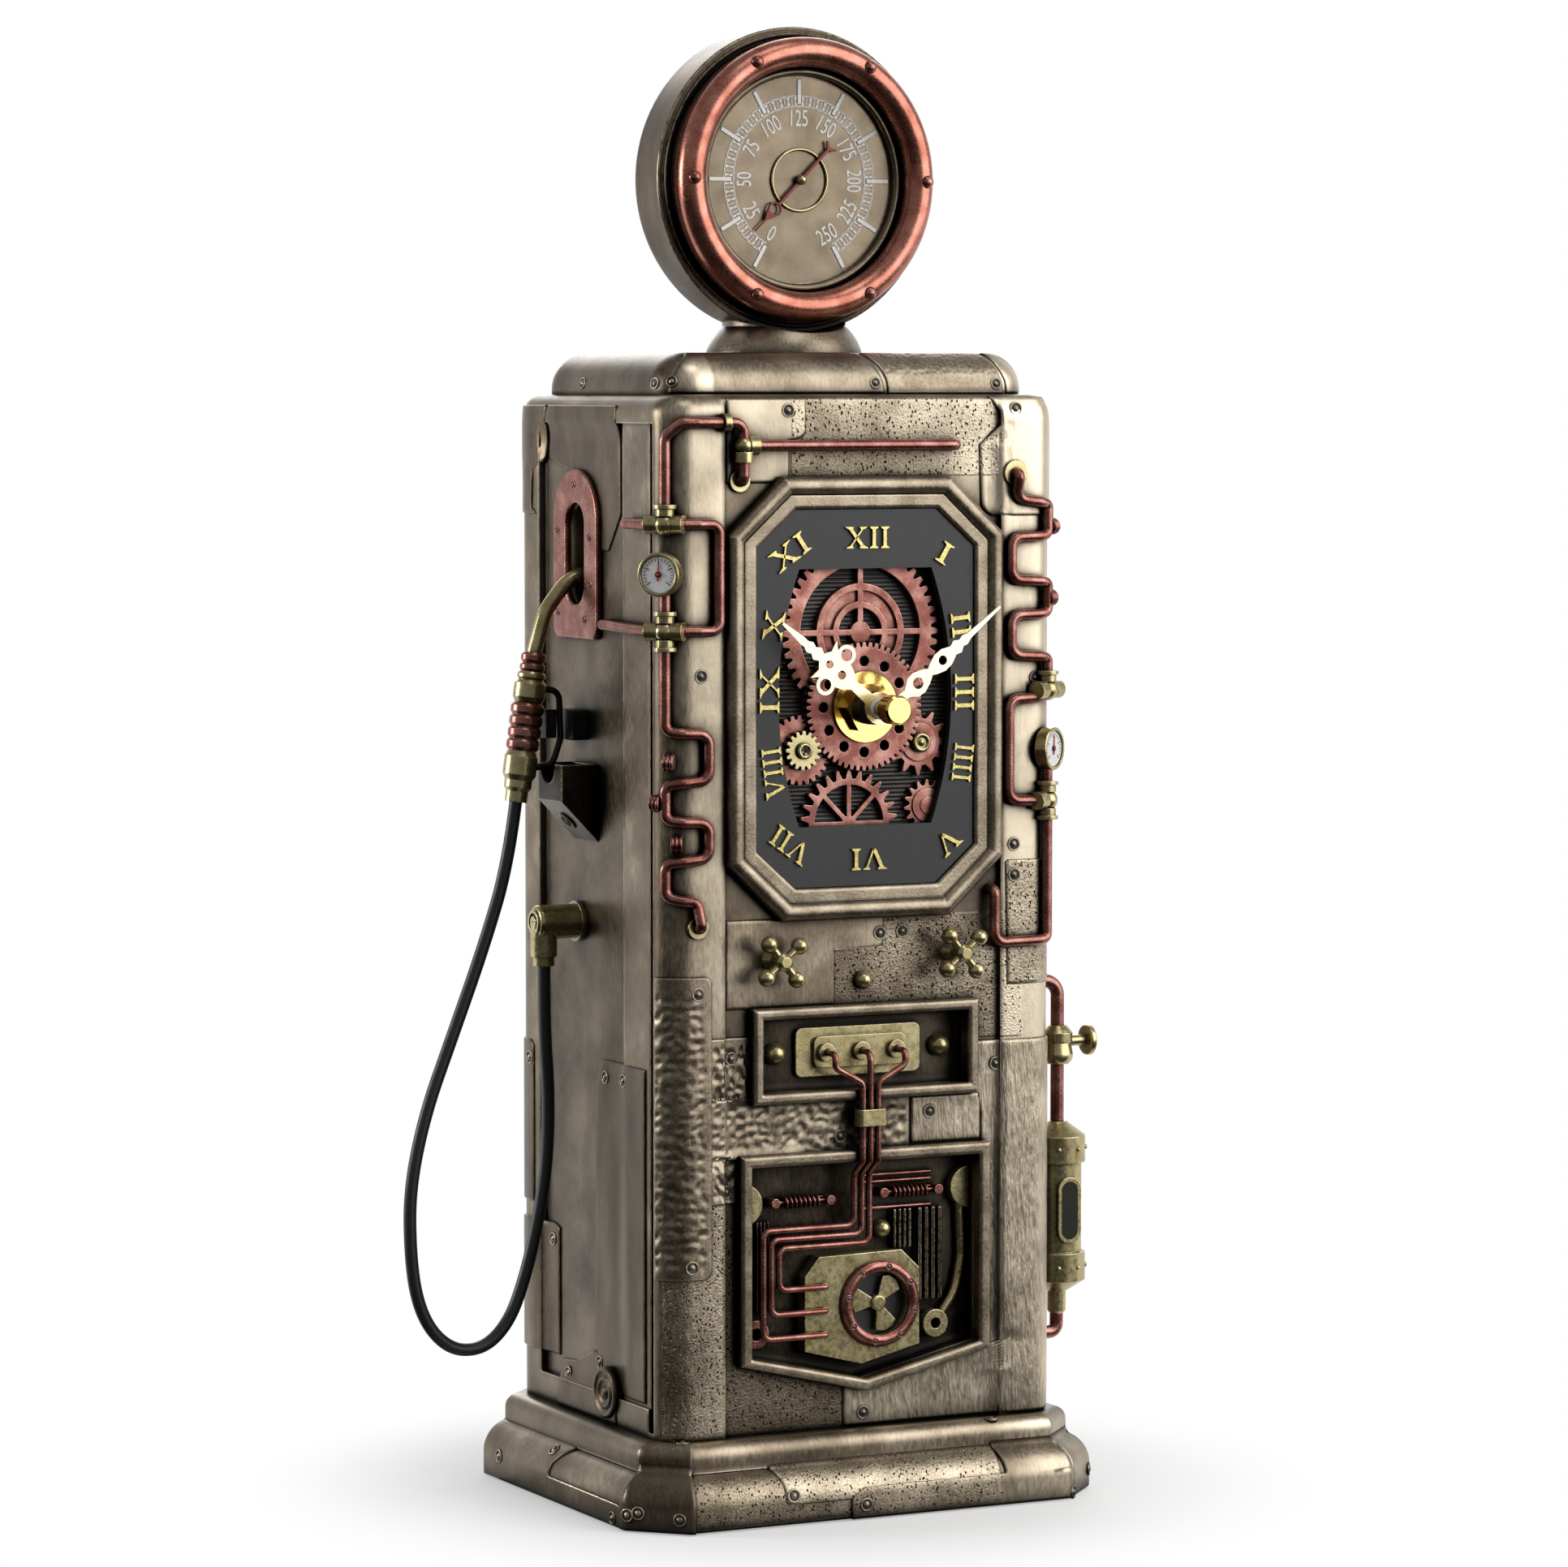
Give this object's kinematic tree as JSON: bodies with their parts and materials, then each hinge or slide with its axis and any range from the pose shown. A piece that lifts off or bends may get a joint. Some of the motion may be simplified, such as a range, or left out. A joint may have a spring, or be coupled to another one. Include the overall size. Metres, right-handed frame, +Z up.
{
  "type": "table clock",
  "caption": "Steampunk table clock shaped like an old petrol pump, with a round gauge on top, gear relief dial, copper pipework, a side nozzle with hose and a quartz movement behind.",
  "frame": {"origin": "centre of the underside, on the surface that the clock stands on", "axes": "+Z up, the dial faces -Y, the nozzle and its hose are on the -X side, the canister on the +X side"},
  "size_m": [0.1607, 0.1091, 0.3414],
  "materials": {
    "bronze_casting": "cast resin with an antiqued dark bronze coat and rubbed pale edges",
    "felt": "black felt",
    "copper_finish": "cast resin with a red copper metallic coat",
    "brass_finish": "cast resin with a green-gold brass metallic coat",
    "gauge_bronze": "brushed bronze dial with white printed marks",
    "pointer_red": "red pointer",
    "dial_charcoal": "matt charcoal",
    "polished_gold": "polished pale gold",
    "black_plastic": "moulded black plastic",
    "wheel_plastic": "moulded natural plastic",
    "arbor_brass": "turned brass",
    "battery_wrap": "plain dark battery sleeve",
    "dark_metal": "cast resin with a blackened coat",
    "hose_rubber": "smooth black rubber"
  },
  "bodies": {
    "housing": {"base_plinth": "bronze_casting", "battery": "battery_wrap", "brass_trim": "brass_finish", "canister": "brass_finish", "coil_springs": "copper_finish", "crown_slab": "bronze_casting", "dial_frame": "bronze_casting", "dial_plate": "dial_charcoal", "dial_washer": "polished_gold", "fan": "brass_finish", "fan_plate": "brass_finish", "fan_ring": "copper_finish", "felt_sheet": "felt", "gauge_bezel": "copper_finish", "gauge_drum": "bronze_casting", "gauge_face": "gauge_bronze", "gauge_pointer": "pointer_red", "gauge_scale_ring": "brass_finish", "gear_backing": "dial_charcoal", "gear_brass": "brass_finish", "gear_centre": "copper_finish", "gear_low": "copper_finish", "gear_ring": "copper_finish", "gears_side": "copper_finish", "hex_nut": "polished_gold", "hose": "hose_rubber", "hose_fitting": "dark_metal", "movement_case": "black_plastic", "movement_cover": "black_plastic", "neck_collar": "bronze_casting", "nozzle_body": "brass_finish", "nozzle_boot": "bronze_casting", "nozzle_collar": "copper_finish", "nozzle_grip": "copper_finish", "nozzle_peg": "dark_metal", "nozzle_slot_plate": "copper_finish", "pane_copper": "copper_finish", "pane_frame": "bronze_casting", "pane_ribs": "bronze_casting", "pipe_fittings": "brass_finish", "pipes_left": "copper_finish", "pipes_right": "copper_finish", "pump_casing": "bronze_casting", "serpentine_left": "copper_finish", "side_pipe": "copper_finish", "side_valve": "brass_finish", "slot_frame": "bronze_casting", "slot_plate": "brass_finish", "slot_tubes": "copper_finish", "small_gauges": "brass_finish", "spout": "brass_finish", "trigger_guard": "brass_finish", "tube_collar": "brass_finish", "valve_handles": "brass_finish"},
    "minute_train": {"minute_arbor": "arbor_brass", "minute_hand": "polished_gold", "cap_nut": "polished_gold"},
    "hour_train": {"hour_wheel": "wheel_plastic", "hour_hand": "polished_gold"},
    "setting_train": {"setting_wheel": "wheel_plastic"}
  },
  "joints": [
    {"name": "minute_spin", "type": "hinge", "parent": "housing", "child": "minute_train", "pos_m": [0, 0, 0.1854], "axis": [0, 1, 0], "continuous": true},
    {"name": "hour_spin", "type": "hinge", "parent": "housing", "child": "hour_train", "pos_m": [0, 0, 0.1854], "axis": [0, 1, 0], "continuous": true},
    {"name": "setting_spin", "type": "hinge", "parent": "housing", "child": "setting_train", "pos_m": [0, 0, 0.1944], "axis": [0, 1, 0], "continuous": true}
  ],
  "couplings": [
    {"joint": "hour_spin", "follows": "minute_spin", "ratio": 0.083333},
    {"joint": "setting_spin", "follows": "minute_spin", "ratio": -0.33333}
  ]
}
